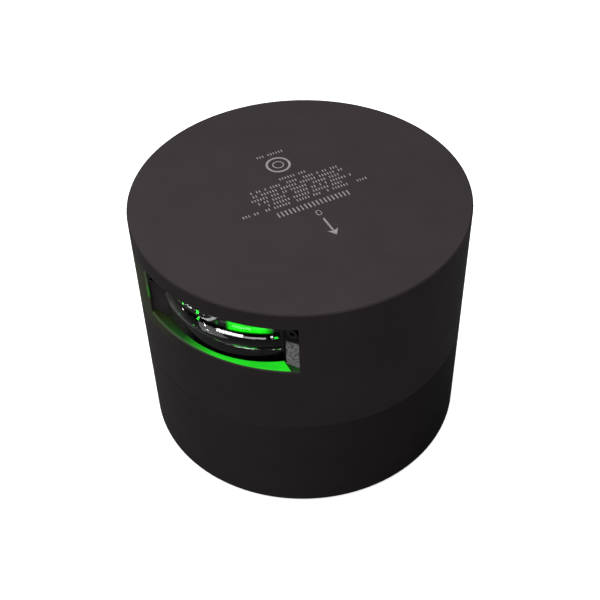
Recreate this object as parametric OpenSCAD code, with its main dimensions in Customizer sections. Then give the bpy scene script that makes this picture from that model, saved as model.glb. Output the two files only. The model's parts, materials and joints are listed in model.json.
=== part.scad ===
// Marine LED sidelight, starboard sector, in a two-tier turned housing.
// Frame: origin at the centre of the base, +X along the 0 degree heading mark, +Y to port, +Z up.
// The beam frame is the same frame turned so that its +X is the optical axis of the window.

/* [Housing] */
// Outside diameter of both housings
body_d = 100; // [100:1:108]
// Overall height
body_h = 80; // [80:1:84]
// Height of the joint between the lower and the upper housing
seam_z = 35; // [32:1:36]
// Chamfer around the top face
rim_chamfer = 0.4; // [0.3:0.1:1]
// Edge break on each side of the joint
seam_break = 0.2; // [0.1:0.05:0.3]
// Inside diameter of the electronics room
room_d = 86; // [84:1:86]
// Thickness of the base floor
floor_t = 10; // [10:0.5:11]

/* [Window] */
// Clockwise angle from the heading mark to the optical axis
window_bearing = 56.25; // [50:0.25:62]
// Arc of visibility
sector_angle = 112.5; // [108:0.5:116]
// Half width of the outer window opening
window_half_w = 24.3; // [24.2:0.1:24.6]
// Half width of the throat, whose two edges cut the sector off
throat_half_w = 18.9; // [18.7:0.1:19]
// Height of the window floor
window_z0 = 58.7; // [58:0.1:59.5]
// Height of the window opening
window_h = 16; // [15:0.5:16]
// Distance of the flat end faces from the housing axis, along the optical axis
end_face_x = 42.4; // [42.4:0.1:42.8]

/* [Lens] */
// Distance of the lens arc's axis from the housing axis
lens_axis_x = 17.2; // [17:0.1:17.4]
// Inner radius of the front wall, where the lens flange bears
wall_r = 31.2; // [31:0.1:31.4]
// Radius of the round lens bar
bar_r = 5.6; // [5:0.1:5.8]
// Radius of the bar's centreline
bar_centre_r = 26.6; // [26.4:0.1:26.8]
// Half angle that the bar spans
bar_half_angle = 35.2; // [31:0.2:35.2]

/* [Light source] */
// Sideways pitch of the LEDs
led_pitch_y = 2.3; // [2.2:0.1:2.6]
// Height between the two rows of LEDs
led_pitch_z = 2.8; // [2.4:0.1:3]
// Radius of the LED domes
dome_r = 0.8; // [0.6:0.05:0.9]

/* [Fixings] */
// Bolt circle of the mounting holes in the base
mount_pcd = 60; // [58:1:62]
// Diameter of the mounting threads
mount_thread_d = 5; // [5:1:6]
// Depth of the mounting holes
mount_depth = 10; // [8:0.5:10]
// Radius of the circle that the closing screws stand on
closing_r = 39.5; // [39:0.25:40]
// Diameter of the supply cable
cable_d = 6.2; // [5.5:0.1:6.4]
// Length of cable outside the housing
cable_tail = 8; // [4:1:60]

/* [Hidden] */

$fn = 96;
eps = 0.01;
// Radial gap between a screw thread and its hole
thread_gap = 0.04;

body_r = body_d / 2;
room_r = room_d / 2;
// Ceiling of the electronics room, which is the floor of the lamp room's front bay
room_top = window_z0 - 3.8;
window_z1 = window_z0 + window_h;
beam_z = window_z0 + window_h / 2;
lamp_room_top = window_z1 + 2.5;
lamp_room_half_w = 24.2;
lip_chamfer = 0.6;

// The light source stands where the two cut-off lines of the sector meet
source_x = end_face_x - throat_half_w / tan(sector_angle / 2);
led_board_x = source_x - 0.2;
led_board_t = 1.6;
led_board_w = 28;
led_board_h = 17;
led_screw_y = 11;
led_screw_head_r = 2.2;
led_screw_head_h = 1.5;
led_size = 1.9;
led_t = 0.5;
mask_t = 1.2;
// The mask's hood covers the leads where they reach the board
hood_t = 3;
hood_half_w = 6.2;
hood_wall = 0.9;
pad_t = 0.3;
plate_x = led_board_x - led_board_t - pad_t;
plate_t = 3.5;
lamp_room_back = plate_x - plate_t - 0.5;
spreader_w = 32;
// The LED leads come up in front of the board and end on its lower edge
led_lead_r = 0.7;
led_lead_y = 4;
led_lead_x = led_board_x + 1.1;
led_lead_z = beam_z - led_board_h / 2 + 1;
led_plug_x = 24;
hood_z0 = room_top + 0.1;
foot_x = -12;
foot_t = 3.5;
foot_pad_t = 0.5;
foot_z = room_top - foot_pad_t - foot_t;

flange_t = 2.9;
flange_front_r = wall_r - 0.1;
flange_half_w = 20.6;
retainer_t = 2.5;
retainer_front_r = flange_front_r - flange_t - 0.1;
retainer_ear_x = 13;
retainer_ear_w = 3.2;
retainer_z0 = room_top + 1.1;
retainer_z1 = lamp_room_top - 0.2;
clamp_y = 22.4;
clamp_z = window_z1 - 2.3;
clamp_seal_t = 0.4;
clamp_shank_r = 1;
clamp_head_r = 1.6;
clamp_head_h = 1.1;
clamp_key_r = 0.75;
clamp_len = 10;

groove_r0 = 45.1;
groove_r1 = 47.1;
groove_depth = 1.4;
boss_r = 4.5;
closing_angle = 22.5;
lamp_boss_h = 12;
pin_boss_h = 9;
pin_angles = [67.5, 247.5];
pin_circle_r = 40.4;
pin_r = 1.5;
pin_len = 10;
washer_t = 0.6;
closing_head_h = 4;
closing_head_r = 3.5;
closing_key_r = 1.7;
counterbore_r = 4.1;
counterbore_depth = 5.4;
closing_len = 40;
closing_shank_r = 2;

base_chamfer = 0.6;
mount_boss_r = 5.5;
mount_boss_h = 3;
recess_r = 9;
cable_r = cable_d / 2;
cable_z = cable_r + 1.1;
bend_r = 4.5;
recess_depth = cable_z + bend_r + 0.1;
channel_half_w = cable_r + 0.7;
channel_depth = cable_z + cable_r + 0.1;
cable_top = 16;
gland_r = 4.9;
gland_boss_r = 8;
saddle_x = -20;
saddle_half_l = 2.8;
saddle_half_w = 8.8;
saddle_t0 = 0.05;
saddle_t = 1;
saddle_screw_y = 6.5;
saddle_sink_r = 2.4;
vent_y = -24;
vent_cap_r = 6.6;
vent_cap_top = 2;
vent_stem_r = 4;
vent_seal_t = 0.6;
vent_hole_circle = 4.6;
lead_r = 0.9;
lead_gap = 1.3;
bared_len = 8;
tip_r = 0.6;
tip_len = 4;
// Where the jacket ends
tail_x = -body_r - cable_tail;

board_z = 18;
board_t = 1.6;
board_r = 34;
board_hole_r = 7;
board_top = board_z + board_t;
board_screw_r = 29;
board_screw_angle = 65;
connector_h = 5.8;
m3_r = 1.5;
m3_head_r = 2.75;
m3_key_r = 1.4;
m25_r = 1.25;
spreader_bite = 7;
standoff_r = 3.1;
standoff_bite = 5;

mark_depth = 0.2;

// ---- frames and repeated shapes ----

module beam() {
    rotate([0, 0, -window_bearing]) children();
}

module lens_frame() {
    beam() translate([lens_axis_x, 0, 0]) children();
}

// A box from x0 to x1 and z0 to z1, half_w to each side of the XZ plane
module bay(x0, x1, half_w, z0, z1) {
    translate([x0, -half_w, z0]) cube([x1 - x0, 2 * half_w, z1 - z0]);
}

module rod(r, z0, z1) {
    translate([0, 0, z0]) cylinder(r = r, h = z1 - z0);
}

// The same as rod(), lying along +X from x0 to x1
module rod_x(r, x0, x1) {
    translate([x0, 0, 0]) rotate([0, 90, 0]) cylinder(r = r, h = x1 - x0);
}

module ring(r0, r1, z0, z1) {
    difference() {
        rod(r1, z0, z1);
        rod(r0, z0 - 1, z1 + 1);
    }
}

module around(count, r, first = 0) {
    for (i = [0 : count - 1])
        rotate([0, 0, first + i * 360 / count]) translate([r, 0, 0]) children();
}

module at_pins() {
    for (a = pin_angles) rotate([0, 0, a]) translate([pin_circle_r, 0, 0]) children();
}

// Socket head screw along +Z with its head below z = 0 and its shank above
module socket_screw(shank_r, length, head_r, head_h, key_r) {
    difference() {
        union() {
            rod(shank_r, -eps, length);
            rod(head_r, -head_h, 0);
        }
        rotate([0, 0, 30]) translate([0, 0, -head_h - 1])
            cylinder(r = key_r, h = head_h / 2 + 1, $fn = 6);
    }
}

// ---- housings ----

module lamp_room() {
    lens_frame() intersection() {
        rod(wall_r, room_top - 1, lamp_room_top);
        bay(lamp_room_back - lens_axis_x, wall_r + 1, lamp_room_half_w, room_top, lamp_room_top);
    }
}

module window_cut() {
    beam() {
        bay(end_face_x, body_r + 5, window_half_w, window_z0, window_z1);
        bay(end_face_x - 8, body_r, throat_half_w, window_z0, window_z1);
        intersection() {
            bay(end_face_x, body_r + 1, window_half_w, window_z0 - 2, window_z1);
            rotate_extrude() polygon([
                [body_r - lip_chamfer, window_z0 + 0.2],
                [body_r - lip_chamfer, window_z0],
                [body_r + 1, window_z0 - lip_chamfer - 1],
                [body_r + 1, window_z0 + 0.2]
            ]);
        }
    }
}

module at_clamp_screws() {
    beam() for (side = [-1, 1])
        translate([end_face_x, side * clamp_y, clamp_z]) children();
}

module at_spreader_screws() {
    beam() for (x = [-6, 16], y = [-10, 10]) translate([x, y, 0]) children();
}

module lamp_housing() {
    color("#35312f") difference() {
        rotate_extrude() polygon([
            [0, seam_z],
            [body_r - seam_break, seam_z],
            [body_r, seam_z + seam_break],
            [body_r, body_h - rim_chamfer],
            [body_r - rim_chamfer, body_h],
            [0, body_h]
        ]);
        difference() {
            rod(room_r, seam_z - 1, room_top);
            around(4, closing_r, closing_angle) rod(boss_r, seam_z - 2, seam_z + lamp_boss_h);
            at_pins() rod(boss_r, seam_z - 2, seam_z + pin_boss_h);
        }
        lamp_room();
        window_cut();
        around(4, closing_r, closing_angle)
            rod(closing_shank_r, seam_z - 1, seam_z + lamp_boss_h - 1);
        at_pins() rod(pin_r + thread_gap, seam_z - 1, seam_z + pin_len / 2 + 0.2);
        at_spreader_screws() rod(m3_r, room_top - 1, room_top + spreader_bite);
        at_clamp_screws() rod_x(clamp_shank_r + 0.15, -8, 1);
        heading_shapes();
        legend_shapes();
    }
}

module driver_housing() {
    color("#2b2726") difference() {
        rotate_extrude() polygon([
            [0, 0],
            [body_r - base_chamfer, 0],
            [body_r, base_chamfer],
            [body_r, seam_z - seam_break],
            [body_r - seam_break, seam_z],
            [0, seam_z]
        ]);
        difference() {
            rod(room_r, floor_t, seam_z + 1);
            around(4, closing_r, closing_angle) rod(boss_r, floor_t - 1, seam_z + 2);
            at_pins() rod(boss_r, seam_z - pin_boss_h, seam_z + 2);
            around(4, mount_pcd / 2, 45) rod(mount_boss_r, floor_t - 1, floor_t + mount_boss_h);
            rod(gland_boss_r, floor_t - 1, floor_t + mount_boss_h);
        }
        ring(groove_r0, groove_r1, seam_z - groove_depth, seam_z + 1);
        around(4, closing_r, closing_angle) {
            rod(closing_shank_r + 0.25, -1, seam_z + 1);
            rod(counterbore_r, -1, counterbore_depth);
        }
        at_pins() rod(pin_r + thread_gap, seam_z - pin_len / 2 - 0.2, seam_z + 1);
        around(4, mount_pcd / 2, 45) rod(mount_thread_d / 2, -1, mount_depth);
        around(4, board_screw_r, board_screw_angle) rod(m3_r, floor_t - standoff_bite, floor_t + 1);
        rod(recess_r, -1, recess_depth);
        rod(gland_r + 0.05, 0, floor_t + mount_boss_h + 1);
        bay(-body_r - 1, 0, channel_half_w, -1, channel_depth);
        bay(saddle_x - saddle_half_l - 0.2, saddle_x + saddle_half_l + 0.2,
            saddle_half_w + 0.2, -1, saddle_t + 0.1);
        at_saddle_screws() rod(m25_r, 0, 7.5);
        translate([0, vent_y, 0]) {
            rod(vent_cap_r + 0.6, -1, vent_cap_top + vent_seal_t);
            rod(vent_stem_r, -1, floor_t + 1);
        }
    }
}

module housing_seal() {
    color("#151515") translate([0, 0, seam_z - groove_depth / 2])
        rotate_extrude() translate([(groove_r0 + groove_r1) / 2, 0])
            circle(r = groove_depth / 2 - eps, $fn = 32);
}

module alignment_pins() {
    color("#b8bcc0") at_pins()
        rod(pin_r, seam_z - pin_len / 2, seam_z + pin_len / 2);
}

module closing_screws() {
    color("#a9adb2") around(4, closing_r, closing_angle)
        translate([0, 0, counterbore_depth - washer_t])
            socket_screw(closing_shank_r - thread_gap, closing_len,
                closing_head_r, closing_head_h, closing_key_r);
}

module closing_screw_washers() {
    color("#1c1c1c") around(4, closing_r, closing_angle)
        ring(closing_shank_r + 0.1, counterbore_r - 0.2,
            counterbore_depth - washer_t + eps, counterbore_depth);
}

// ---- top markings: paint in shallow engraving ----

// Bar in the top face from (x0, y0) to (x1, y1)
module mark_bar(x0, x1, y0, y1) {
    translate([x0, y0, body_h - mark_depth])
        cube([x1 - x0, y1 - y0, mark_depth + eps]);
}

arrow_tail_x = 12.9;
arrow_tip_x = 21;
arrow_y = 1.05;
arrow_w = 0.6;
arrow_head_l = 2.6;
arrow_head_w = 3.4;
arrow_notch = 0.6;
zero_x = 10.1;
zero_r = 0.8;
zero_stretch = 0.4;
zero_line = 0.27;

// Arrow to 0 degrees, with the numeral 0 behind its tail
module heading_shapes() {
    translate([0, arrow_y, body_h - mark_depth]) linear_extrude(mark_depth + eps)
        polygon([
            [arrow_tail_x, -arrow_w / 2],
            [arrow_tip_x - arrow_head_l + arrow_notch, -arrow_w / 2],
            [arrow_tip_x - arrow_head_l, -arrow_head_w / 2],
            [arrow_tip_x, 0],
            [arrow_tip_x - arrow_head_l, arrow_head_w / 2],
            [arrow_tip_x - arrow_head_l + arrow_notch, arrow_w / 2],
            [arrow_tail_x, arrow_w / 2]
        ]);
    translate([zero_x, arrow_y, body_h - mark_depth]) difference() {
        zero_outline(zero_r);
        translate([0, 0, -1]) zero_outline(zero_r - zero_line);
    }
}

module zero_outline(r) {
    height = mark_depth + 2;
    for (x = [-zero_stretch, zero_stretch]) translate([x, 0, 0]) cylinder(r = r, h = height);
    translate([-zero_stretch, -r, 0]) cube([2 * zero_stretch, 2 * r, height]);
}

// Each legend row: [x of its centre, y where it starts, y where it ends]
legend_rows = [
    [2.2, 21.8, -20.2],
    [0.4, 13.6, -11.2],
    [-1.4, 17.6, -13.6],
    [-3.2, 15.4, -15.2],
    [-5, 16.6, -13.8],
    [-6.8, 15.8, -13.8],
    [-9.1, 6.4, -4.3],
    [-21.8, 5.9, -4.2]
];
tick_pitch = 0.9;
tick_w = 0.36;
tick_h = 1.05;
// The title row is a band of taller ticks
title_x = 5.8;
title_y0 = 13;
title_count = 19;
title_pitch = 1.24;
title_tick_w = 0.42;
title_h = 2.3;
ring_mark_x = -15.9;
ring_mark_r = 3.8;

// Ticks along a row, left out where a gap falls
function tick_shown(i, row) = (i + 3 * row) % 7 != 0 && (i * i + row) % 11 != 3;

module legend_shapes() {
    for (row = [0 : len(legend_rows) - 1]) {
        line = legend_rows[row];
        count = floor((line[1] - line[2]) / tick_pitch);
        for (i = [0 : count - 1])
            if (tick_shown(i, row))
                mark_bar(line[0] - tick_h / 2, line[0] + tick_h / 2,
                    line[1] - i * tick_pitch - tick_w, line[1] - i * tick_pitch);
    }
    for (i = [0 : title_count - 1])
        mark_bar(title_x - title_h / 2, title_x + title_h / 2,
            title_y0 - i * title_pitch - title_tick_w, title_y0 - i * title_pitch);
    translate([ring_mark_x, arrow_y - 0.2, 0]) {
        ring(3.1, ring_mark_r, body_h - mark_depth, body_h + eps);
        ring(1.4, 1.8, body_h - mark_depth, body_h + eps);
    }
}

module heading_mark() {
    color("#a09a9a") intersection() {
        heading_shapes();
        rod(body_r, body_h - 1, body_h - 0.02);
    }
}

module legend_marks() {
    color("#8f8a8a") intersection() {
        legend_shapes();
        rod(body_r, body_h - 1, body_h - 0.02);
    }
}

// ---- lens ----

module lens() {
    color([0.7, 0.8, 0.75, 0.6]) lens_frame() {
        rotate([0, 0, -bar_half_angle])
            rotate_extrude(angle = 2 * bar_half_angle)
                translate([bar_centre_r, beam_z]) circle(r = bar_r, $fn = 64);
        difference() {
            intersection() {
                ring(flange_front_r - flange_t, flange_front_r, room_top + 0.1, lamp_room_top - 0.1);
                bay(0, wall_r, flange_half_w, room_top, lamp_room_top);
            }
            lens_seal_frame(0);
        }
    }
}

seal_in_y = throat_half_w + 0.3;
seal_in_z = 1;
seal_w = 0.9;
seal_r0 = flange_front_r - 0.8;

// Window-shaped band in the front of the lens flange; gap shrinks it
module lens_seal_frame(gap) {
    difference() {
        intersection() {
            ring(seal_r0 + gap, wall_r, 0, body_h);
            bay(0, wall_r + 1, seal_in_y + seal_w - gap,
                window_z0 - seal_in_z - seal_w + gap, window_z1 + seal_in_z + seal_w - gap);
        }
        bay(-1, wall_r + 2, seal_in_y + gap,
            window_z0 - seal_in_z + gap, window_z1 + seal_in_z - gap);
    }
}

module lens_seal() {
    color("#101010") lens_frame() lens_seal_frame(0.02);
}

module lens_retainer() {
    window_half_h = bar_r + 0.3;
    color("#8d9094") difference() {
        lens_frame() difference() {
            union() {
                intersection() {
                    ring(retainer_front_r - retainer_t, retainer_front_r, retainer_z0, retainer_z1);
                    bay(0, wall_r, flange_half_w + 0.5, retainer_z0, retainer_z1);
                }
                intersection() {
                    rod(flange_front_r, retainer_z0, retainer_z1);
                    for (side = [0, 1]) mirror([0, side, 0])
                        translate([retainer_ear_x, flange_half_w + 0.2, retainer_z0])
                            cube([20, retainer_ear_w, retainer_z1 - retainer_z0]);
                }
            }
            bay(0, wall_r, throat_half_w - 0.8, beam_z - window_half_h, beam_z + window_half_h);
        }
        at_clamp_screws() rod_x(clamp_shank_r, -clamp_len - 1, 1);
    }
}

module lens_clamp_screws() {
    color("#b8bcc0") at_clamp_screws() translate([clamp_seal_t, 0, 0])
        rotate([0, -90, 0])
            socket_screw(clamp_shank_r - thread_gap, clamp_len,
                clamp_head_r, clamp_head_h, clamp_key_r);
}

module clamp_screw_seals() {
    color("#1c1c1c") at_clamp_screws() rotate([0, 90, 0])
        ring(clamp_shank_r + 0.05, clamp_head_r, 0, clamp_seal_t - eps);
}

// ---- light source ----

module at_led_board_screws() {
    beam() for (side = [-1, 1]) translate([0, side * led_screw_y, beam_z]) children();
}

module at_leds() {
    beam() for (column = [-1 : 1], row = [-1, 1])
        translate([led_board_x, column * led_pitch_y, beam_z + row * led_pitch_z / 2]) children();
}

module led_plate(x0, x1, half_w, half_h) {
    beam() bay(x0, x1, half_w, beam_z - half_h, beam_z + half_h);
}

module led_board() {
    color("#e8e8e4") difference() {
        led_plate(led_board_x - led_board_t, led_board_x, led_board_w / 2, led_board_h / 2);
        at_led_board_screws() rod_x(m25_r + 0.15, 0, 40);
    }
}

module led_packages() {
    color("#f4f2e8") at_leds() translate([0, -led_size / 2, -led_size / 2])
        cube([led_t, led_size, led_size]);
}

module led_domes() {
    color("#3ce05a") at_leds() translate([led_t, 0, 0]) intersection() {
        sphere(r = dome_r, $fn = 32);
        translate([0, -2, -2]) cube([2, 4, 4]);
    }
}

// Black cover over the board, with an opening for the LEDs and a hood over the leads
module led_mask() {
    color("#181818") difference() {
        union() {
            led_plate(led_board_x, led_board_x + mask_t, led_board_w / 2, led_board_h / 2);
            beam() bay(led_board_x, led_board_x + hood_t, hood_half_w,
                hood_z0, led_lead_z + 1 + hood_wall);
        }
        beam() bay(led_board_x - 1, led_board_x + hood_t - hood_wall, hood_half_w - hood_wall,
            hood_z0 - 1, led_lead_z + 1);
        led_plate(led_board_x - 1, led_board_x + hood_t + 1, led_pitch_y + 1.6,
            led_pitch_z / 2 + 1.6);
        at_led_board_screws() rod_x(m25_r + 0.15, 0, 40);
    }
}

module led_board_screws() {
    color("#b8bcc0") at_led_board_screws() translate([led_board_x + mask_t, 0, 0])
        rotate([0, -90, 0])
            socket_screw(m25_r - thread_gap, 5, led_screw_head_r, led_screw_head_h, 1);
}

module led_thermal_pad() {
    color("#9ab0c0") difference() {
        led_plate(plate_x, plate_x + pad_t, led_board_w / 2, led_board_h / 2);
        at_led_board_screws() rod_x(m25_r + 0.15, 0, 40);
    }
}

module heat_spreader() {
    color("#c3c6c9") difference() {
        beam() {
            bay(foot_x, plate_x, spreader_w / 2, foot_z, foot_z + foot_t);
            bay(plate_x - plate_t, plate_x, spreader_w / 2, foot_z, lamp_room_top - 0.7);
        }
        at_led_board_screws() rod_x(m25_r, 0, 40);
        at_spreader_screws() rod(m3_r + 0.2, 0, room_top);
    }
}

module spreader_thermal_pad() {
    color("#9ab0c0") difference() {
        beam() bay(foot_x, lamp_room_back - 0.2, spreader_w / 2, room_top - foot_pad_t, room_top);
        at_spreader_screws() rod(m3_r + 0.2, 0, room_top + 1);
    }
}

module spreader_screws() {
    color("#b8bcc0") at_spreader_screws() translate([0, 0, foot_z])
        socket_screw(m3_r - thread_gap, 10, m3_head_r, 3, m3_key_r);
}

// ---- wiring: a lead is a chain of straight runs with round corners ----

module run(from, to, r) {
    span = to - from;
    translate(from)
        rotate([0, acos(span[2] / norm(span)), atan2(span[1], span[0])])
            cylinder(r = r, h = norm(span), $fn = 24);
}

module lead(points, r) {
    for (i = [1 : len(points) - 1]) run(points[i - 1], points[i], r);
    for (i = [1 : len(points) - 2]) translate(points[i]) sphere(r = r, $fn = 24);
}

module led_lead(side) {
    beam() lead([
        [led_plug_x, side * led_lead_y, board_top + connector_h],
        [led_plug_x, side * led_lead_y, board_top + connector_h + 1.6],
        [led_lead_x, side * led_lead_y, board_top + connector_h + 1.6],
        [led_lead_x, side * led_lead_y, led_lead_z],
        [led_board_x, side * led_lead_y, led_lead_z]
    ], led_lead_r);
}

module led_lead_positive() {
    color("#b02020") led_lead(1);
}

module led_lead_negative() {
    color("#202020") led_lead(-1);
}

// Connector body on the driver board, with a latch groove along its top
module header(length, width) {
    groove_y = 1.2 - width / 2;
    groove_w = 0.6;
    difference() {
        translate([-length / 2, -width / 2, board_top]) cube([length, width, connector_h]);
        translate([-length / 2 - 1, groove_y, board_top + connector_h - 1])
            cube([length + 2, groove_w, 2]);
    }
}

module led_connector() {
    color("#e9e4d2") beam() translate([led_plug_x, 0, 0]) header(6, 12);
}

supply_plug_y = 17;

module supply_connector() {
    color("#e9e4d2") translate([0, supply_plug_y, 0]) header(9, 6);
}

// Inside, a lead arches from the cable's end to the plug; outside, it leaves the cut jacket
module supply_lead(side) {
    x = side * lead_gap;
    lead_top = board_top + connector_h + 2;
    lead([
        [x, 0, cable_top],
        [x, 0, lead_top],
        [x, supply_plug_y, lead_top],
        [x, supply_plug_y, board_top + connector_h]
    ], lead_r);
    run([tail_x - bared_len, x, cable_z], [tail_x, x, cable_z], lead_r);
}

module supply_lead_positive() {
    color("#b02020") supply_lead(1);
}

module supply_lead_negative() {
    color("#202020") supply_lead(-1);
}

module stripped_ends() {
    color("#c7763c") for (side = [-1, 1])
        run([tail_x - bared_len - tip_len, side * lead_gap, cable_z],
            [tail_x - bared_len, side * lead_gap, cable_z], tip_r);
}

module supply_cable() {
    color("#1a1a1a") {
        translate([0, 0, cable_z]) rod_x(cable_r, tail_x, -bend_r);
        translate([-bend_r, 0, cable_z + bend_r]) rotate([90, 0, 0]) rotate([0, 0, -90])
            rotate_extrude(angle = 90) translate([bend_r, 0]) circle(r = cable_r, $fn = 48);
        rod(cable_r, cable_z + bend_r, cable_top);
    }
}

module cable_grommet() {
    color("#222222") difference() {
        union() {
            rod(gland_r, recess_depth, floor_t + mount_boss_h);
            rod(gland_r + 1.6, floor_t + mount_boss_h, floor_t + mount_boss_h + 1.5);
        }
        rod(cable_r + 0.02, 0, cable_top + 1);
    }
}

module at_saddle_screws() {
    for (side = [-1, 1]) translate([saddle_x, side * saddle_screw_y, 0]) children();
}

// Plate that holds the cable up in its channel, with countersunk holes
module cable_saddle() {
    color("#a9adb2") difference() {
        bay(saddle_x - saddle_half_l, saddle_x + saddle_half_l, saddle_half_w,
            saddle_t0, saddle_t0 + saddle_t);
        at_saddle_screws() {
            rod(m25_r + 0.15, -1, 2);
            translate([0, 0, saddle_t0 - eps])
                cylinder(r1 = saddle_sink_r, r2 = m25_r + 0.15, h = saddle_t + 2 * eps);
        }
    }
}

module saddle_screws() {
    color("#b8bcc0") at_saddle_screws() difference() {
        union() {
            translate([0, 0, saddle_t0 + eps])
                cylinder(r1 = saddle_sink_r - 0.1, r2 = m25_r - 0.05, h = saddle_t);
            rod(m25_r - thread_gap, saddle_t, 7);
        }
        translate([0, 0, -1]) cylinder(r = 0.8, h = 1.7, $fn = 6);
    }
}

// ---- driver electronics ----

module driver_board() {
    color("#1f5a34") difference() {
        rod(board_r, board_z, board_top);
        rod(board_hole_r, 0, body_h);
        around(4, board_screw_r, board_screw_angle) rod(m3_r + 0.1, 0, body_h);
    }
}

module board_standoffs() {
    color("#c8a24a") around(4, board_screw_r, board_screw_angle) {
        difference() {
            translate([0, 0, floor_t])
                cylinder(r = standoff_r, h = board_z - floor_t, $fn = 6);
            rod(m3_r, floor_t + 1, body_h);
        }
        rod(m3_r - thread_gap, floor_t - standoff_bite + 0.2, floor_t);
    }
}

module board_screws() {
    color("#b8bcc0") around(4, board_screw_r, board_screw_angle) translate([0, 0, board_top])
        mirror([0, 0, 1]) socket_screw(m3_r - thread_gap, 6, m3_head_r, 2, m3_key_r);
}

// Stands on the board, r from its middle, at each angle in turn
module on_board(r, angles) {
    for (a = angles) rotate([0, 0, a]) translate([r, 0, board_top]) children();
}

// Block that stands on z = 0, centred on the Z axis
module block(length, width, height) {
    translate([-length / 2, -width / 2, 0]) cube([length, width, height]);
}

inductor_w = 10;
inductor_h = 4;

module power_inductors() {
    color("#3a3a3c") on_board(19, [35, 145]) {
        block(inductor_w, inductor_w, inductor_h);
        cylinder(r = 0.44 * inductor_w, h = 1.2 * inductor_h);
    }
}

capacitor_r = 4;
capacitor_h = 10.2;

module bulk_capacitors() {
    color("#b9bcc2") on_board(20, [182, 216]) {
        block(2.1 * capacitor_r, 2.1 * capacitor_r, 1);
        cylinder(r = capacitor_r, h = capacitor_h);
    }
}

module driver_chips() {
    color("#17171a") on_board(14, [5, 335]) block(5, 4, 1.5);
}

module surge_diodes() {
    color("#1c1c1e") on_board(26, [82, 98, 262]) block(3.6, 4.4, 2.2);
}

chip_count = 12;

module chip_parts() {
    color("#9a7a55")
        on_board(10.2, [for (i = [0 : chip_count - 1]) (i + 0.5) * 360 / chip_count])
            block(1.2, 2, 0.6);
}

// ---- pressure vent in the base ----

// Three holes in the cap lead through a flat gallery to the bore of the stem
module vent_plug() {
    color("#202022") translate([0, vent_y, 0]) difference() {
        union() {
            rod(vent_cap_r, 0.2, vent_cap_top);
            rod(vent_stem_r - thread_gap, vent_cap_top - 0.1, floor_t - 1);
        }
        rod(1.6, 1, floor_t);
        around(3, vent_hole_circle) rod(0.7, 0, 1.2);
        rod(vent_hole_circle, 1, 1.2);
    }
}

module vent_seal() {
    color("#101010") translate([0, vent_y, 0])
        ring(vent_stem_r + 0.1, vent_cap_r - 0.2, vent_cap_top + eps,
            vent_cap_top + vent_seal_t - eps);
}

module vent_membrane() {
    color("#e8e8e8") translate([0, vent_y, floor_t - 1]) ring(0.5, 3.6, eps, 0.3);
}

lamp_housing();
driver_housing();
housing_seal();
alignment_pins();
closing_screws();
closing_screw_washers();
heading_mark();
legend_marks();
lens();
lens_seal();
lens_retainer();
lens_clamp_screws();
clamp_screw_seals();
led_board();
led_packages();
led_domes();
led_mask();
led_board_screws();
led_thermal_pad();
heat_spreader();
spreader_thermal_pad();
spreader_screws();
led_lead_positive();
led_lead_negative();
led_connector();
driver_board();
board_standoffs();
board_screws();
power_inductors();
bulk_capacitors();
driver_chips();
surge_diodes();
chip_parts();
supply_connector();
supply_lead_positive();
supply_lead_negative();
stripped_ends();
supply_cable();
cable_grommet();
cable_saddle();
saddle_screws();
vent_plug();
vent_seal();
vent_membrane();
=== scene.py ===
import json
import math

import bpy
from mathutils import Matrix, Vector

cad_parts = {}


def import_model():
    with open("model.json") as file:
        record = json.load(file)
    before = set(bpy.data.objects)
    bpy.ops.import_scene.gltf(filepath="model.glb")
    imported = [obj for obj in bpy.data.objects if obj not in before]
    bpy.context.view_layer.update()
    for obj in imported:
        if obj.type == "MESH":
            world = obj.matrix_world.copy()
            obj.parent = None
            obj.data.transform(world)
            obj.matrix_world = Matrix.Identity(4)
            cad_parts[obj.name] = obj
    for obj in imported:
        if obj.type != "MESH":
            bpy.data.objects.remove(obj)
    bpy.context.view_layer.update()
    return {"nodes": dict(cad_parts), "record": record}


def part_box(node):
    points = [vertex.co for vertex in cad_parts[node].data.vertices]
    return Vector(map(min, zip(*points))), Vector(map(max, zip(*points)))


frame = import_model()

MM = 0.001
SLOT_OF = {part["node"]: part["material_slot"] for part in frame["record"]["subparts"]}

# ---- places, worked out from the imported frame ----

lamp_low, lamp_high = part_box("lamp_housing")
base_low, base_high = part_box("driver_housing")
BODY_R = (lamp_high.x - lamp_low.x) / 2
SEAM_Z = base_high.z

# The optical axis runs from the housing axis through the middle of the LEDs
domes_low, domes_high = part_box("led_domes")
beam_mid = (domes_low + domes_high) / 2
BEAM_ANGLE = math.atan2(beam_mid.y, beam_mid.x)
BEAM_Z = beam_mid.z

# ---- dimensions of the window and the lens that no box in the frame shows ----

HALF_SECTOR = math.radians(112.5 / 2)
WINDOW_HALF_H = 8 * MM
WINDOW_HALF_W = 24.3 * MM
WINDOW_FLOOR_Z = BEAM_Z - WINDOW_HALF_H
WINDOW_ROOF_Z = BEAM_Z + WINDOW_HALF_H
END_FACE_X = 42.4 * MM
THROAT_HALF_W = 18.9 * MM
LENS_AXIS_X = 17.2 * MM
BAR_R = 5.6 * MM
BAR_RING_R = 26.6 * MM
FLANGE_R = 31.1 * MM
# How far above and below the beam's middle the round bar stands out of the flange
BAR_PROUD_Z = 3.3 * MM
# Across the window, where the floor's light steps down towards the far end
STEP_Y = -10.4 * MM
# How wide the lit edge is along the window's far upright side
UPRIGHT_W = 0.9 * MM
# How far a mask reaches past its face, and how far into the outside wall
SKIN = 0.1 * MM
WALL_SKIN = 0.3 * MM
# How far the floor lies under the part
FLOOR_GAP = 0.02 * MM


# ---- shader graphs ----

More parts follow.
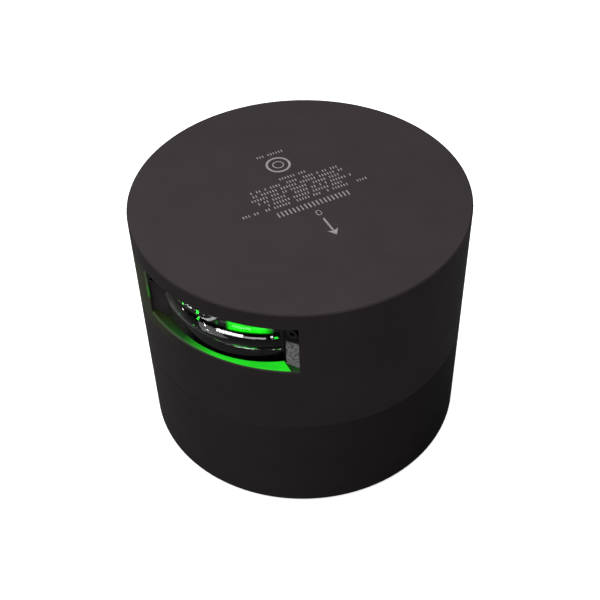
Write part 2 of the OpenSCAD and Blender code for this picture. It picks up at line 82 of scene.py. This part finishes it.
class Graph:
    """A material's node tree, with short calls that return sockets."""

    def __init__(self, name):
        self.material = bpy.data.materials.new(name)
        self.material.use_nodes = True
        self.tree = self.material.node_tree
        self.tree.nodes.clear()
        self.coords = self.add("ShaderNodeTexCoord").outputs["Object"]

    def add(self, kind, settings=None, inputs=None):
        node = self.tree.nodes.new(kind)
        for key, value in (settings or {}).items():
            setattr(node, key, value)
        for key, value in (inputs or {}).items():
            self.put(node.inputs[key], value)
        return node

    def put(self, socket, value):
        if isinstance(value, bpy.types.NodeSocket):
            self.tree.links.new(value, socket)
        elif isinstance(value, (tuple, list)) and len(value) == 3 and socket.type == "RGBA":
            socket.default_value = (*value, 1)
        else:
            socket.default_value = value

    def math(self, operation, a, b=0.0, c=0.0, clamp=False):
        node = self.add("ShaderNodeMath", {"operation": operation, "use_clamp": clamp},
                        {0: a, 1: b, 2: c})
        return node.outputs[0]

    def product(self, *factors):
        result = factors[0]
        for factor in factors[1:]:
            result = self.math("MULTIPLY", result, factor)
        return result

    def noise(self, size, detail=2.0, rough=0.5, vector=None):
        """Noise from 0 to 1 whose features are about size metres across."""
        node = self.add("ShaderNodeTexNoise", {}, {
            "Vector": vector or self.coords, "Scale": 1 / size, "Detail": detail,
            "Roughness": rough})
        return node.outputs["Fac"]

    def remap(self, value, low, high, to_low=0.0, to_high=1.0, smooth=False):
        node = self.add("ShaderNodeMapRange",
                        {"clamp": True,
                         "interpolation_type": "SMOOTHSTEP" if smooth else "LINEAR"},
                        {"Value": value, "From Min": low, "From Max": high,
                         "To Min": to_low, "To Max": to_high})
        return node.outputs["Result"]

    def band(self, value, low, high, soft):
        """1 between low and high, fading to 0 over soft on each side."""
        rise = self.remap(value, low - soft, low, smooth=True)
        fall = self.remap(value, high, high + soft, 1.0, 0.0, smooth=True)
        return self.math("MULTIPLY", rise, fall)

    def mix(self, factor, a, b):
        node = self.add("ShaderNodeMix", {"data_type": "RGBA"})
        self.put(node.inputs["Factor"], factor)
        self.put(node.inputs[6], a)
        self.put(node.inputs[7], b)
        return node.outputs[2]

    def bump(self, height, strength, distance, normal=None):
        inputs = {"Height": height, "Strength": strength, "Distance": distance}
        if normal is not None:
            inputs["Normal"] = normal
        return self.add("ShaderNodeBump", {}, inputs).outputs["Normal"]

    def rounded(self, radius):
        """The surface normal as if each sharp edge were rounded to this radius."""
        return self.add("ShaderNodeBevel", {"samples": 6}, {"Radius": radius}).outputs["Normal"]

    def split(self, vector):
        node = self.add("ShaderNodeSeparateXYZ", {}, {0: vector})
        return node.outputs[0], node.outputs[1], node.outputs[2]

    def glow(self, *sources):
        """The sum of (colour, strength) pairs, as one emission colour."""
        total = None
        for color, strength in sources:
            part = self.add("ShaderNodeVectorMath", {"operation": "SCALE"}, {0: color, 3: strength})
            if total is None:
                total = part.outputs[0]
            else:
                total = self.add("ShaderNodeVectorMath", {"operation": "ADD"},
                                 {0: total, 1: part.outputs[0]}).outputs[0]
        return total

    def seen(self):
        """1 where the camera looks straight at the surface."""
        return self.add("ShaderNodeLightPath").outputs["Is Camera Ray"]

    def reach(self, x, y):
        """Distance from the housing's axis."""
        return self.math("SQRT", self.math("ADD", self.product(x, x), self.product(y, y)))

    def beam_coords(self):
        """Object coordinates turned so that X is the optical axis."""
        node = self.add("ShaderNodeVectorRotate", {"rotation_type": "Z_AXIS"},
                        {"Vector": self.coords, "Angle": -BEAM_ANGLE})
        return self.split(node.outputs[0])

    def finish(self, **inputs):
        shader = self.add("ShaderNodeBsdfPrincipled")
        for key, value in inputs.items():
            self.put(shader.inputs[key.replace("_", " ")], value)
        output = self.add("ShaderNodeOutputMaterial")
        self.tree.links.new(shader.outputs[0], output.inputs["Surface"])
        return self.material


def times(factor, color):
    return tuple(factor * c for c in color)


# Colours of painted light: on the window's floor, on the wall beside it, along its lip and caught
# in the lens; the colour of the painted reflection at the lens's far end; and the tint of the
# anodised surface's sheen
GLOW = (0.010, 0.62, 0.012)
SPILL = (0.0060, 0.0125, 0.0)
LIP = (0.030, 0.050, 0.026)
CAUGHT = (0.006, 1.0, 0.008)
FAR_WALL_REFLECTION = (0.0150, 0.0160, 0.0130)
SHEEN = (1.0, 0.84, 0.89)


def on_window_floor(g, z):
    """1 on the window's floor."""
    normal_z = g.split(g.add("ShaderNodeNewGeometry").outputs["True Normal"])[2]
    return g.product(g.math("GREATER_THAN", normal_z, 0.5),
                     g.band(z, WINDOW_FLOOR_Z - 0.2 * MM, WINDOW_FLOOR_Z + SKIN, SKIN))


def far_upright(g, x, y, z, low, high, soft):
    """1 on the window's upright edge at its far end, from low to high over the floor."""
    return g.product(g.band(y, -WINDOW_HALF_W - UPRIGHT_W, -WINDOW_HALF_W, 0.15 * MM),
                     g.math("GREATER_THAN", g.reach(x, y), BODY_R - WALL_SKIN),
                     g.math("GREATER_THAN", x, 0.0),
                     g.band(z, WINDOW_FLOOR_Z + low * MM, WINDOW_FLOOR_Z + high * MM, soft * MM))


def window_glow(g, x, y, z):
    """How brightly the LEDs light the window's floor, from 0 to 1."""
    # The cut-off line leaves the throat's edge at half the sector angle
    ahead = g.math("SUBTRACT", x, END_FACE_X)
    cut_off = g.math("MULTIPLY_ADD", ahead, math.tan(HALF_SECTOR), THROAT_HALF_W)
    inside_right = g.remap(g.math("SUBTRACT", cut_off, y), -0.05 * MM, 0.1 * MM)
    inside_left = g.remap(g.math("ADD", cut_off, y), -1.0 * MM, 3.0 * MM)
    dim_end = g.remap(y, -21 * MM, STEP_Y - 0.2 * MM, 0.015, 0.10)
    # Beyond the step only the rim of the floor catches light
    on_rim = g.remap(g.reach(x, y), BODY_R - 3.2 * MM, BODY_R - 1.0 * MM, 0.1, 1.0)
    before_step = g.remap(y, STEP_Y - 0.2 * MM, STEP_Y + 0.1 * MM)
    dim_end = g.product(dim_end, g.math("MAXIMUM", on_rim, before_step))
    step = g.remap(y, STEP_Y - 0.1 * MM, STEP_Y + 0.3 * MM, 0.0, 0.05)
    lit = g.math("POWER", g.remap(y, STEP_Y, 0.5 * MM), 1.3)
    to_left = g.math("ADD", g.math("ADD", dim_end, g.product(lit, 0.95)), step)
    patchy = g.remap(g.noise(5 * MM, 2.0), 0.3, 0.7, 0.88, 1.08)
    return g.product(on_window_floor(g, z), inside_right, inside_left, to_left, patchy)


def spill(g, x, y, z):
    """Stray light on the outside wall, beside and under the window's far end."""
    beside = g.product(g.remap(y, -22.5 * MM, -24.5 * MM, smooth=True),
                       g.math("GREATER_THAN", g.reach(x, y), BODY_R - WALL_SKIN),
                       g.band(z, WINDOW_FLOOR_Z - 2 * MM, WINDOW_ROOF_Z - 5 * MM, 6 * MM))
    under = g.product(g.remap(y, -11 * MM, -21 * MM, smooth=True),
                      g.remap(z, WINDOW_FLOOR_Z - 7 * MM, WINDOW_FLOOR_Z - 1 * MM, smooth=True),
                      g.math("LESS_THAN", z, WINDOW_FLOOR_Z))
    close_by = g.remap(x, 18 * MM, 34 * MM, smooth=True)
    return g.product(g.math("ADD", beside, under, clamp=True), close_by)


def lit_edges(g, x, y, z):
    """The lip along the window's floor, and the top of the far upright edge."""
    reach = g.reach(x, y)
    lip = g.product(g.band(z, WINDOW_FLOOR_Z - 0.5 * MM, WINDOW_FLOOR_Z - 0.1 * MM, 0.1 * MM),
                    g.math("LESS_THAN", reach, BODY_R - 0.04 * MM),
                    g.math("GREATER_THAN", reach, BODY_R - 1.2 * MM),
                    g.remap(y, 2 * MM, -12 * MM, 0.25, 1.0))
    edge = g.product(far_upright(g, x, y, z, 10.5, 15, 1.0), 0.8)
    return g.math("ADD", lip, edge, clamp=True)


def far_glow(g, x, y, z):
    """Painted green light on the floor beyond the near cut-off line, and halfway up the far upright
    edge.
    """
    corner = g.product(on_window_floor(g, z),
                       g.math("GREATER_THAN", y, THROAT_HALF_W),
                       g.remap(g.noise(0.7 * MM, 3.0, 0.7), 0.35, 0.65, 0.02, 0.10))
    edge = g.product(far_upright(g, x, y, z, 6, 9.6, 0.7), 0.2)
    return g.math("ADD", corner, edge)


def lit_end_land(g, x, y, z):
    """1 where light is painted on the end face at the window's near end, whose grain comes from
    bead blasting, below the painted shadow line of its roof.
    """
    on_face = g.band(x, END_FACE_X - 0.15 * MM, END_FACE_X + 0.15 * MM, 0.05 * MM)
    across = g.band(y, THROAT_HALF_W + 0.7 * MM, WINDOW_HALF_W, 0.1 * MM)
    lean = g.math("MULTIPLY_ADD", g.math("SUBTRACT", y, THROAT_HALF_W), 0.17, BEAM_Z + 0.2 * MM)
    lit = g.remap(g.math("SUBTRACT", lean, z), -0.5 * MM, 0.5 * MM, smooth=True)
    return g.product(on_face, across, lit)


def in_window(g, x, y, z):
    """1 on the faces of the window opening, which light reaches less than the outside."""
    return g.product(g.math("LESS_THAN", g.reach(x, y), BODY_R - SKIN),
                     g.band(z, WINDOW_FLOOR_Z - 0.3 * MM, WINDOW_ROOF_Z + SKIN, SKIN))


def anodised(name, shade, has_window):
    g = Graph(name)
    grain = g.noise(0.16 * MM, 3.0, 0.65)
    cloud = g.noise(14 * MM, 3.0, 0.55)
    tone = g.mix(g.remap(cloud, 0.3, 0.7), times(0.90, shade), times(1.1, shade))
    color = g.mix(g.remap(grain, 0.35, 0.75, 0.0, 0.35), tone, times(1.5, shade))
    rough = g.remap(g.noise(3 * MM, 2.0), 0.2, 0.8, 0.44, 0.52)
    normal = g.bump(grain, 0.10, 0.03 * MM, g.rounded(0.15 * MM))
    inputs = {}
    if has_window:
        place = g.beam_coords()
        # Near end face: grain from bead blasting, with painted light making it much lighter than
        # the anodise
        blast = g.remap(g.noise(0.55 * MM, 3.0, 0.75), 0.36, 0.64)
        blasted_and_lit = g.mix(blast, (0.045, 0.045, 0.046), (0.42, 0.42, 0.425))
        # Painted shade darkens the window's faces to 0.4 of the colour; painted light makes the far
        # wall above the floor 1.3 times the colour
        far_wall_painted_light = g.product(g.remap(place[1], -15 * MM, -18 * MM),
                             g.math("GREATER_THAN", place[2], WINDOW_FLOOR_Z + SKIN))
        painted_window_shade_and_light = g.mix(far_wall_painted_light, times(0.4, shade), times(1.3, shade))
        color = g.mix(in_window(g, *place), color, painted_window_shade_and_light)
        color = g.mix(lit_end_land(g, *place), color, blasted_and_lit)
        glow = g.glow((GLOW, window_glow(g, *place)), (SPILL, spill(g, *place)),
                      (LIP, lit_edges(g, *place)), (GLOW, far_glow(g, *place)))
        # Only the eye sees the glow, so the dark lens and walls beside it stay dark
        inputs = {"Emission_Color": glow, "Emission_Strength": g.seen()}
    return g.finish(Base_Color=color, Roughness=rough, Specular_IOR_Level=0.1,
                    Specular_Tint=SHEEN, Normal=normal, **inputs)


def rubber(name):
    g = Graph(name)
    grain = g.noise(0.25 * MM, 3.0, 0.6)
    color = g.mix(g.remap(grain, 0.3, 0.7), (0.012, 0.012, 0.012), (0.026, 0.026, 0.027))
    return g.finish(Base_Color=color, Roughness=0.72, Normal=g.bump(grain, 0.25, 0.04 * MM))


def jacket(name):
    g = Graph(name)
    grain = g.noise(0.3 * MM, 3.0, 0.6)
    scuff = g.remap(g.noise(2.2 * MM, 4.0, 0.7), 0.55, 0.7)
    color = g.mix(g.product(scuff, 0.5), (0.014, 0.014, 0.015), (0.05, 0.05, 0.052))
    rough = g.remap(scuff, 0.0, 1.0, 0.42, 0.6)
    return g.finish(Base_Color=color, Roughness=rough, Normal=g.bump(grain, 0.2, 0.03 * MM))


def metal(name, color, rough, streak=0.5, shade=0.8):
    g = Graph(name)
    stretched = g.add("ShaderNodeVectorMath", {"operation": "MULTIPLY"},
                      {0: g.coords, 1: (1.0, 1.0, 0.06)}).outputs[0]
    lines = g.noise(0.09 * MM, 2.0, 0.5, stretched)
    cloud = g.noise(1.6 * MM, 3.0, 0.6)
    tint = g.mix(g.remap(cloud, 0.3, 0.75), color, times(shade, color))
    normal = g.bump(lines, streak, 0.012 * MM, g.rounded(0.08 * MM))
    return g.finish(Base_Color=tint, Metallic=1.0, Normal=normal,
                    Roughness=g.remap(cloud, 0.2, 0.8, rough, rough + 0.12))


def paint(name, color):
    g = Graph(name)
    grain = g.noise(0.12 * MM, 3.0, 0.6)
    worn = g.remap(g.noise(0.9 * MM, 4.0, 0.7), 0.35, 0.62)
    shade = g.mix(worn, times(0.62, color), color)
    return g.finish(Base_Color=shade, Roughness=0.55, Normal=g.bump(grain, 0.3, 0.02 * MM))


def plastic(name, color, rough, grain_size=0.15, depth=0.02, spread=0.12):
    g = Graph(name)
    grain = g.noise(grain_size * MM, 3.0, 0.6)
    cloud = g.noise(grain_size * 12 * MM, 2.0)
    lighter = tuple(min(c, 1) for c in times(1 + spread, color))
    tint = g.mix(g.remap(cloud, 0.3, 0.7), times(1 - spread, color), lighter)
    normal = g.bump(grain, 0.2, depth * MM, g.rounded(0.1 * MM))
    return g.finish(Base_Color=tint, Normal=normal,
                    Roughness=g.remap(cloud, 0.2, 0.8, rough - 0.04, rough + 0.06))


def acrylic(name):
    g = Graph(name)
    x, y, z = g.beam_coords()
    turn = g.math("DEGREES", g.math("ARCTAN2", y, g.math("SUBTRACT", x, LENS_AXIS_X)))
    # The LEDs' light, caught in the top of the lens to the right of the optical axis
    top = g.remap(turn, 24.0, 32.5, BEAM_Z + 6.2 * MM, BEAM_Z + 4.4 * MM)
    caught = g.product(g.remap(turn, 8.0, 11.0, smooth=True),
                       g.remap(turn, 32.8, 27.5, smooth=True),
                       g.remap(z, BEAM_Z + 2.9 * MM, BEAM_Z + 3.3 * MM, smooth=True),
                       g.remap(g.math("SUBTRACT", top, z), -0.4 * MM, 0.0, smooth=True),
                       g.remap(g.noise(1.8 * MM, 2.0), 0.3, 0.6, 0.75, 1.0))
    # Painted reflection: a dim grey mirror image of the wall at the far end, emitted for the eye
    # only
    painted_far_reflection = g.product(g.remap(turn, -11.0, -24.0, smooth=True),
                     g.remap(g.noise(1.5 * MM, 3.0, 0.6), 0.3, 0.7, 0.6, 1.1))
    ripple = g.noise(2.5 * MM, 1.0, 0.4)
    # Painted shade: reflection is turned off on the lower half, which faces the window's floor, so
    # it stays black
    sheen = g.remap(z, BEAM_Z - 1.0 * MM, BEAM_Z + 0.2 * MM, 0.0, 0.5)
    # The clear lens is tinted dark grey, painted shade standing in for the dark chamber seen
    # through it
    return g.finish(Base_Color=(0.17, 0.185, 0.18), Roughness=0.015, IOR=1.49,
                    Specular_IOR_Level=sheen,
                    Transmission_Weight=1.0, Normal=g.bump(ripple, 0.03, 0.05 * MM),
                    Emission_Color=g.glow((CAUGHT, caught), (FAR_WALL_REFLECTION, painted_far_reflection)),
                    Emission_Strength=g.seen())


def lit_dome(name):
    g = Graph(name)
    cloud = g.noise(0.3 * MM, 1.0)
    return g.finish(Base_Color=(0.02, 0.5, 0.05), Roughness=0.1,
                    Emission_Color=g.mix(cloud, (0.02, 0.9, 0.05), (0.08, 1.0, 0.14)),
                    Emission_Strength=5.0)


def circuit_board(name, mask, copper):
    """Solder mask over wavy bands of copper."""
    g = Graph(name)
    x = g.split(g.coords)[0]
    warp = g.math("MULTIPLY", g.noise(6 * MM, 1.0), 5 * MM)
    across = g.math("PINGPONG", g.math("ADD", x, warp), 0.9 * MM)
    tracks = g.remap(across, 0.38 * MM, 0.46 * MM)
    color = g.mix(g.product(tracks, 0.75), mask, copper)
    grain = g.noise(0.12 * MM, 2.0)
    normal = g.bump(tracks, 0.35, 0.03 * MM, g.bump(grain, 0.1, 0.01 * MM))
    return g.finish(Base_Color=color, Roughness=0.32, Normal=normal)


FINISHES = {
    "anodised_upper": lambda n: anodised(n, (0.0275, 0.0228, 0.0240), True),
    # The lower tier is the same anodise with its colour darkened, painted shade for its darker
    # side; the low_left lamp lifts its left side
    "anodised_lower": lambda n: anodised(n, (0.0160, 0.0130, 0.0138), False),
    "seal_rubber": rubber,
    "cable_jacket": jacket,
    "stainless": lambda n: metal(n, (0.62, 0.61, 0.59), 0.24),
    "black_steel": lambda n: metal(n, (0.06, 0.06, 0.06), 0.3),
    "capacitor_can": lambda n: metal(n, (0.70, 0.71, 0.74), 0.28, 0.3),
    "brass": lambda n: metal(n, (0.72, 0.52, 0.22), 0.22),
    "copper": lambda n: metal(n, (0.80, 0.42, 0.25), 0.3, 0.8, 0.6),
    "mark_paint": lambda n: paint(n, (0.28, 0.262, 0.262)),
    "clear_acrylic": acrylic,
    "board_white": lambda n: circuit_board(n, (0.78, 0.78, 0.75), (0.70, 0.69, 0.64)),
    "board_green": lambda n: circuit_board(n, (0.012, 0.11, 0.035), (0.05, 0.24, 0.08)),
    "led_body": lambda n: plastic(n, (0.86, 0.84, 0.76), 0.35, 0.08, 0.005),
    "led_green": lit_dome,
    "black_plastic": lambda n: plastic(n, (0.018, 0.018, 0.019), 0.5),
    "thermal_pad": lambda n: plastic(n, (0.32, 0.42, 0.5), 0.75, 0.4, 0.05),
    "wire_red": lambda n: plastic(n, (0.45, 0.02, 0.02), 0.38, 0.2, 0.01),
    "wire_black": lambda n: plastic(n, (0.02, 0.02, 0.021), 0.38, 0.2, 0.01),
    "connector_ivory": lambda n: plastic(n, (0.72, 0.66, 0.50), 0.42),
    "ferrite": lambda n: plastic(n, (0.045, 0.045, 0.05), 0.6, 0.2, 0.05, 0.3),
    "chip_epoxy": lambda n: plastic(n, (0.022, 0.022, 0.024), 0.45),
    "chip_ceramic": lambda n: plastic(n, (0.34, 0.22, 0.13), 0.4, 0.2, 0.01, 0.3),
    "membrane": lambda n: plastic(n, (0.8, 0.8, 0.8), 0.8, 0.1, 0.03),
}


def dress_cad():
    """Gives each CAD node its slot's material, and smooth shading across its curved faces."""
    made = {}
    for name, piece in frame["nodes"].items():
        slot = SLOT_OF[name]
        if slot not in made:
            made[slot] = FINISHES[slot](slot)
        piece.data.materials.clear()
        piece.data.materials.append(made[slot])
        piece.data.shade_smooth()


# ---- stage: floor, lights, camera ----

def material_floor():
    g = Graph("studio_floor")
    grain = g.noise(4 * MM, 2.0)
    white = g.mix(grain, (0.86, 0.86, 0.86), (0.88, 0.88, 0.88))
    seen = g.seen()
    return g.finish(Base_Color=g.mix(seen, (0.16, 0.16, 0.16), white), Roughness=0.9,
                    Specular_IOR_Level=0.1, Emission_Color=(1, 1, 1),
                    Emission_Strength=g.math("MULTIPLY", seen, 0.75))


def floor():
    size = 3.0
    mesh = bpy.data.meshes.new("floor")
    corners = [(-size, -size), (size, -size), (size, size), (-size, size)]
    mesh.from_pydata([(x, y, base_low.z - FLOOR_GAP) for x, y in corners], [], [(0, 1, 2, 3)])
    plane = bpy.data.objects.new("floor", mesh)
    plane.data.materials.append(material_floor())
    bpy.context.scene.collection.objects.link(plane)


def area_light(name, place, target, size, power, color=(1, 1, 1), height=None):
    data = bpy.data.lights.new(name, "AREA")
    data.energy = power
    data.color = color
    data.size = size
    if height:
        data.shape = "RECTANGLE"
        data.size_y = height
    lamp = bpy.data.objects.new(name, data)
    lamp.location = place
    lamp.rotation_euler = (Vector(target) - Vector(place)).to_track_quat("-Z", "Y").to_euler()
    lamp.visible_camera = False
    bpy.context.scene.collection.objects.link(lamp)
    return lamp


def light_only(lamp, node):
    """Keeps a lamp's light to one CAD node."""
    group = bpy.data.collections.new(lamp.name + "_lights")
    group.objects.link(frame["nodes"][node])
    lamp.light_linking.receiver_collection = group


def world():
    background = bpy.data.worlds.new("studio")
    background.use_nodes = True
    tree = background.node_tree
    tree.nodes.clear()
    seen = tree.nodes.new("ShaderNodeLightPath")
    bright = tree.nodes.new("ShaderNodeBackground")
    bright.inputs["Color"].default_value = (1, 1, 1, 1)
    dim = tree.nodes.new("ShaderNodeBackground")
    dim.inputs["Color"].default_value = (0.055, 0.051, 0.0535, 1)
    mix = tree.nodes.new("ShaderNodeMixShader")
    output = tree.nodes.new("ShaderNodeOutputWorld")
    tree.links.new(seen.outputs["Is Camera Ray"], mix.inputs[0])
    tree.links.new(dim.outputs[0], mix.inputs[1])
    tree.links.new(bright.outputs[0], mix.inputs[2])
    tree.links.new(mix.outputs[0], output.inputs["Surface"])
    bpy.context.scene.world = background


# The camera, in body radii from the housing axis at the base, and its angles in degrees
CAM_BEARING = 64.2
CAM_DISTANCE = 4.72
CAM_HEIGHT = 5.275
CAM_PITCH = 43.78
CAM_YAW = 0.18
CAM_ROLL = -1.68
CAM_LENS = 61.59


def away_from_camera():
    bearing = math.radians(CAM_BEARING)
    return Vector((-math.sin(bearing), math.cos(bearing), 0))


def camera_place():
    return -away_from_camera() * CAM_DISTANCE * BODY_R + Vector((0, 0, CAM_HEIGHT * BODY_R))


def camera():
    away = away_from_camera()
    place = camera_place()
    away.rotate(Matrix.Rotation(math.radians(CAM_YAW), 3, "Z"))
    right = Vector((away.y, -away.x, 0))
    pitch = math.radians(CAM_PITCH)
    roll = math.radians(CAM_ROLL)
    up = Vector((0, 0, 1))
    look = away * math.cos(pitch) - up * math.sin(pitch)
    over = up * math.cos(pitch) + away * math.sin(pitch)
    side = right * math.cos(roll) + over * math.sin(roll)
    over = over * math.cos(roll) - right * math.sin(roll)
    data = bpy.data.cameras.new("camera")
    data.lens = CAM_LENS
    data.sensor_width = 36
    data.clip_start = 0.01
    item = bpy.data.objects.new("camera", data)
    turn = Matrix((side, over, -look)).transposed()
    item.matrix_world = Matrix.Translation(place) @ turn.to_4x4()
    bpy.context.scene.collection.objects.link(item)
    bpy.context.scene.camera = item


WHITE = (1, 1, 1)
GREEN = (0.03, 1, 0.05)

# Cards that the lens mirrors to the camera. Each highlight has its turn round the lens in
# degrees, and in mm its height over the beam, half length and half height; then its light
LENS_CARDS = {
    "strip_left": (10.5, 2.1, 3.4, 0.42, 28, WHITE),
    "strip_right": (23.2, 1.8, 2.6, 0.26, 9, WHITE),
    "grey_wide": (0.5, 1.3, 3.2, 1.0, 1.8, WHITE),
    "grey_line": (-1.5, 3.9, 2.4, 0.4, 5, WHITE),
    "green_upper": (-8.2, 5.3, 0.35, 0.8, 20, GREEN),
    "green_lower": (-7.7, 3.0, 0.35, 0.5, 20, GREEN),
    "spark_far_green": (-19.1, 4.5, 0.25, 0.4, 18, GREEN),
    "spark_far": (-18.7, 2.7, 0.25, 0.18, 18, WHITE),
    "spark_upper": (-3.1, 2.1, 0.3, 0.3, 22, WHITE),
    "spark_middle": (-1.2, 1.05, 0.25, 0.2, 18, WHITE),
    "spark_near": (31.2, 2.2, 0.3, 0.3, 22, WHITE),
    "spark_near_green": (33.1, 1.9, 0.4, 0.3, 20, GREEN),
}
CARD_DISTANCE = 70 * MM


def lens_cards():
    """Places each card where the lens mirrors it towards the camera."""
    eye = camera_place()
    axis = Vector((LENS_AXIS_X * math.cos(BEAM_ANGLE), LENS_AXIS_X * math.sin(BEAM_ANGLE), BEAM_Z))
    for name, (turn, height, half_long, half_high, bright, color) in LENS_CARDS.items():
        angle = BEAM_ANGLE + math.radians(turn)
        out = Vector((math.cos(angle), math.sin(angle), 0))
        on_bar = abs(height) * MM < BAR_PROUD_Z
        tilt = math.asin(height * MM / BAR_R) if on_bar else 0.0
        normal = out * math.cos(tilt) + Vector((0, 0, math.sin(tilt)))
        if on_bar:
            point = axis + out * BAR_RING_R + normal * BAR_R
        else:
            point = axis + out * FLANGE_R + Vector((0, 0, height * MM))
        view = (eye - point).normalized()
        mirrored = (normal * 2 * view.dot(normal) - view).normalized()
        spread = 1 + CARD_DISTANCE / (eye - point).length
        wide = 2 * half_long * MM * (spread + 2 * CARD_DISTANCE / (BAR_RING_R + BAR_R))
        high = 2 * half_high * MM * (spread + (2 * CARD_DISTANCE / BAR_R if on_bar else 0))
        power = bright * math.pi * wide * high
        place = point + mirrored * CARD_DISTANCE
        light_only(area_light(name, place, point, wide, power, color, high), "lens")


def lights():
    away = away_from_camera()
    right = Vector((away.y, -away.x, 0))
    middle = (0, 0, SEAM_Z)
    overhead = away * 0.1 - right * 0.17 + Vector((0, 0, 0.9))
    area_light("overhead", overhead, middle, 1.0, 12.6)
    front = -right * 0.1 - away * 0.9 + Vector((0, 0, 0.3))
    light_only(area_light("front_fill", front, middle, 0.7, 3.4), "lamp_housing")
    low = -right * 0.42 - away * 0.72 + Vector((0, 0, 0.1))
    light_only(area_light("low_left", low, middle, 0.4, 5.0), "driver_housing")
    lens_cards()


dress_cad()
floor()
world()
lights()
camera()
bpy.context.scene.view_settings.view_transform = "Standard"
